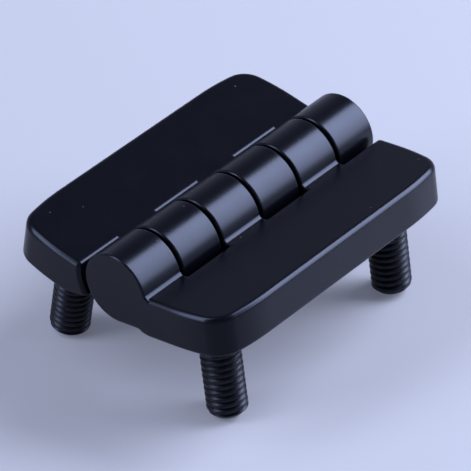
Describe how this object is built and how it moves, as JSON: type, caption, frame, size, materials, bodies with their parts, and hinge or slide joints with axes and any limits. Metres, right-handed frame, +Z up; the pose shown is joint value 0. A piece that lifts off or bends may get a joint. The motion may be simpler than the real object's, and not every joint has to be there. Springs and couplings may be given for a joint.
{
  "type": "cabinet hinge",
  "caption": "Black die-cast surface-mounted cabinet hinge: two rectangular leaves with rounded corners on a raised knuckle barrel, with threaded mounting studs below.",
  "frame": {"origin": "on the ground under the middle of the barrel, where the stud tips stand", "axes": "+Y along the barrel, +X towards the right leaf, +Z up from the stud tips to the barrel"},
  "size_m": [0.0396, 0.0504, 0.0234],
  "materials": {
    "leaf_paint": "satin",
    "stud_steel": "satin",
    "pin_steel": "brushed"
  },
  "bodies": {
    "left_side": {"left_leaf": "leaf_paint", "stud_left_front": "stud_steel", "stud_left_back": "stud_steel", "hinge_pin": "pin_steel"},
    "right_side": {"right_leaf": "leaf_paint", "stud_right_front": "stud_steel", "stud_right_back": "stud_steel"}
  },
  "joints": [
    {"name": "leaf_pivot", "type": "hinge", "parent": "left_side", "child": "right_side", "pos_m": [0, 0, 0.01799], "axis": [0, -1, 0], "range_deg": [-66, 162]}
  ]
}
